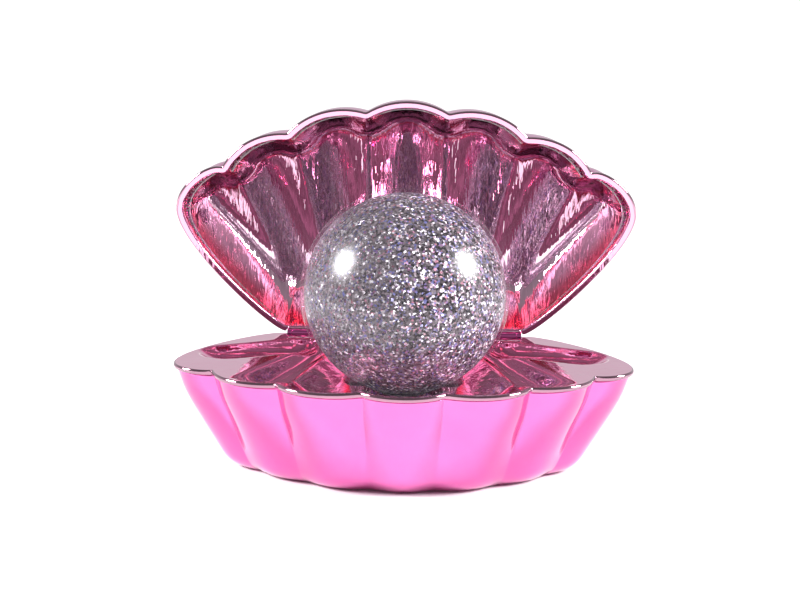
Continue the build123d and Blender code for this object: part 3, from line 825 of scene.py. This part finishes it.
def floor():
    """A round sheet of white paper under the ornament."""
    ground = Builder()
    ground.rings(spun([(radius, 0.0) for radius in FLOOR_RADII], (0, 0, -FLOOR_DROP), "z", 64))
    made = ground.object("studio_floor")
    paper, tree, shader = new_material("white_paper")
    fibres = noise(tree, 400.0)
    tone = ramp(tree, fibres.outputs["Fac"], [(0.3, grey(0.88)), (0.7, grey(0.90))])
    tree.links.new(tone.outputs["Color"], shader.inputs["Base Color"])
    shader.inputs["Roughness"].default_value = 0.9
    shader.inputs["Specular IOR Level"].default_value = 0.1
    made.data.materials.append(paper)


def camera():
    """A little above the rim and square to the hinge, at the photograph's angle."""
    data = bpy.data.cameras.new("camera")
    data.lens = CAMERA_LENS
    data.sensor_width = 36.0
    data.shift_x, data.shift_y = CAMERA_SHIFT
    data.clip_start = 0.01
    data.clip_end = 50.0
    holder = bpy.data.objects.new("camera", data)
    target = Vector((0, BACK_Y, RIM_Z))
    away = Vector((0, -math.cos(CAMERA_TILT), math.sin(CAMERA_TILT)))
    holder.location = (target + CAMERA_DISTANCE * away) * 0.001
    pitch = Matrix.Rotation(math.radians(90) - CAMERA_TILT, 4, "X")
    turn = pitch @ Matrix.Rotation(CAMERA_ROLL, 4, "Z")
    holder.rotation_euler = turn.to_euler()
    bpy.context.scene.collection.objects.link(holder)
    bpy.context.scene.camera = holder


# ---------------------------------------------------------------- assembly
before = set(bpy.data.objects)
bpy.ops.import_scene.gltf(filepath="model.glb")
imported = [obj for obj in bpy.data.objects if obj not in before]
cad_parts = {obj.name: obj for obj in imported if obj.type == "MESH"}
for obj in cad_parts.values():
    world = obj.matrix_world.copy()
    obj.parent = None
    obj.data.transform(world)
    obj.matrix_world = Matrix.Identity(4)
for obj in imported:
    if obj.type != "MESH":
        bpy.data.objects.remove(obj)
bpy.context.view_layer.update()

inner_plating = dyed(plated("pink_plating_inner", 0.25, 0.35), (0.88, 0.29, 0.50), (0.93, 0.35, 0.57))
lid_streaks = (3.2, 0.6, 0.45)
into_lid = (0, math.sin(OPEN_ANGLE), math.cos(OPEN_ANGLE))
# painted shade in the lid: a thin pale line at the rim, a dark crimson band below it, then paler pink
# further in
lid_plating = painted_depth_shade(
    plated("pink_plating_lid", 0.45, 0.35, lid_streaks),
    (0, AXIS_Y, RIM_Z), into_lid, 20.0,
    [
        (0.02, (0.86, 0.40, 0.60)),
        (0.06, (0.86, 0.10, 0.17)),
        (0.24, (0.86, 0.16, 0.27)),
        (0.44, (0.93, 0.54, 0.72)),
        (1.0, (0.95, 0.62, 0.78)),
    ],
)
bead_plating = dyed(plated("rose_bead_plating", 0.06, 1.0), (0.35, 0.17, 0.24), (0.41, 0.21, 0.29))
finishes = {
    "clear_seal": moulded("clear_silicone", (0.80, 0.78, 0.80), (0.25, 0.4), 800.0, 0.1,
                          transmission=0.6),
    "clear_plastic": moulded("clear_plastic", (0.85, 0.86, 0.88), (0.08, 0.15), 500.0, 0.05,
                             transmission=0.8),
    "black_plastic": moulded("black_plastic", (0.025, 0.025, 0.027), (0.35, 0.55), 1500.0, 0.2),
    "air_stone": moulded("air_stone", (0.33, 0.38, 0.42), (0.85, 0.95), 2500.0, 0.8),
    "steel": moulded("steel", (0.62, 0.61, 0.60), (0.18, 0.32), 1800.0, 0.1, metallic=1.0),
    "foam_rubber": moulded("foam_rubber", (0.04, 0.04, 0.042), (0.8, 0.95), 2200.0, 0.6),
    "pink_metallised": dyed(plated("pink_plating", 0.10, 0.7), (0.73, 0.115, 0.41), (0.77, 0.135, 0.45)),
    "clear_acrylic": clear_gloss(),
    "glitter": glitter(),
}

skin, core = pearl_layers()
lower = lower_shell()
upper = upper_shell()
tray = sunk_sheet(LOWER_RIM, base_place, SEAT_R, tray_depth, TRAY_STEPS, "tray_skin")
liner = sunk_sheet(UPPER_RIM, lid_place, POLE, liner_depth, LINER_STEPS, "liner_skin")
built = [
    (lower, "base", "lower_shell", "pink_metallised"),
    (upper, "lid", "upper_shell", "pink_metallised"),
    (tray, "base", "lower_tray", "pink_metallised"),
    (liner, "lid", "upper_liner", "pink_metallised"),
    (skin, "pearl", "pearl_shell", "clear_acrylic"),
    (core, "pearl", "glitter_core", "glitter"),
]
for piece, body, node, slot in built:
    if piece in (tray, liner):
        piece.data.materials.append(lid_plating if piece is liner else inner_plating)
        piece.data.materials.append(bead_plating)
    else:
        piece.data.materials.append(finishes[slot])
    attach(piece, body)
    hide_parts(node)

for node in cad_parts.values():
    for index, old in enumerate(node.data.materials):
        name = old.name.split(".")[0] if old else ""
        if name in finishes:
            node.data.materials[index] = finishes[name]

surroundings()
soft_box("softbox_left", -1)
soft_box("softbox_right", 1)
floor()
camera()
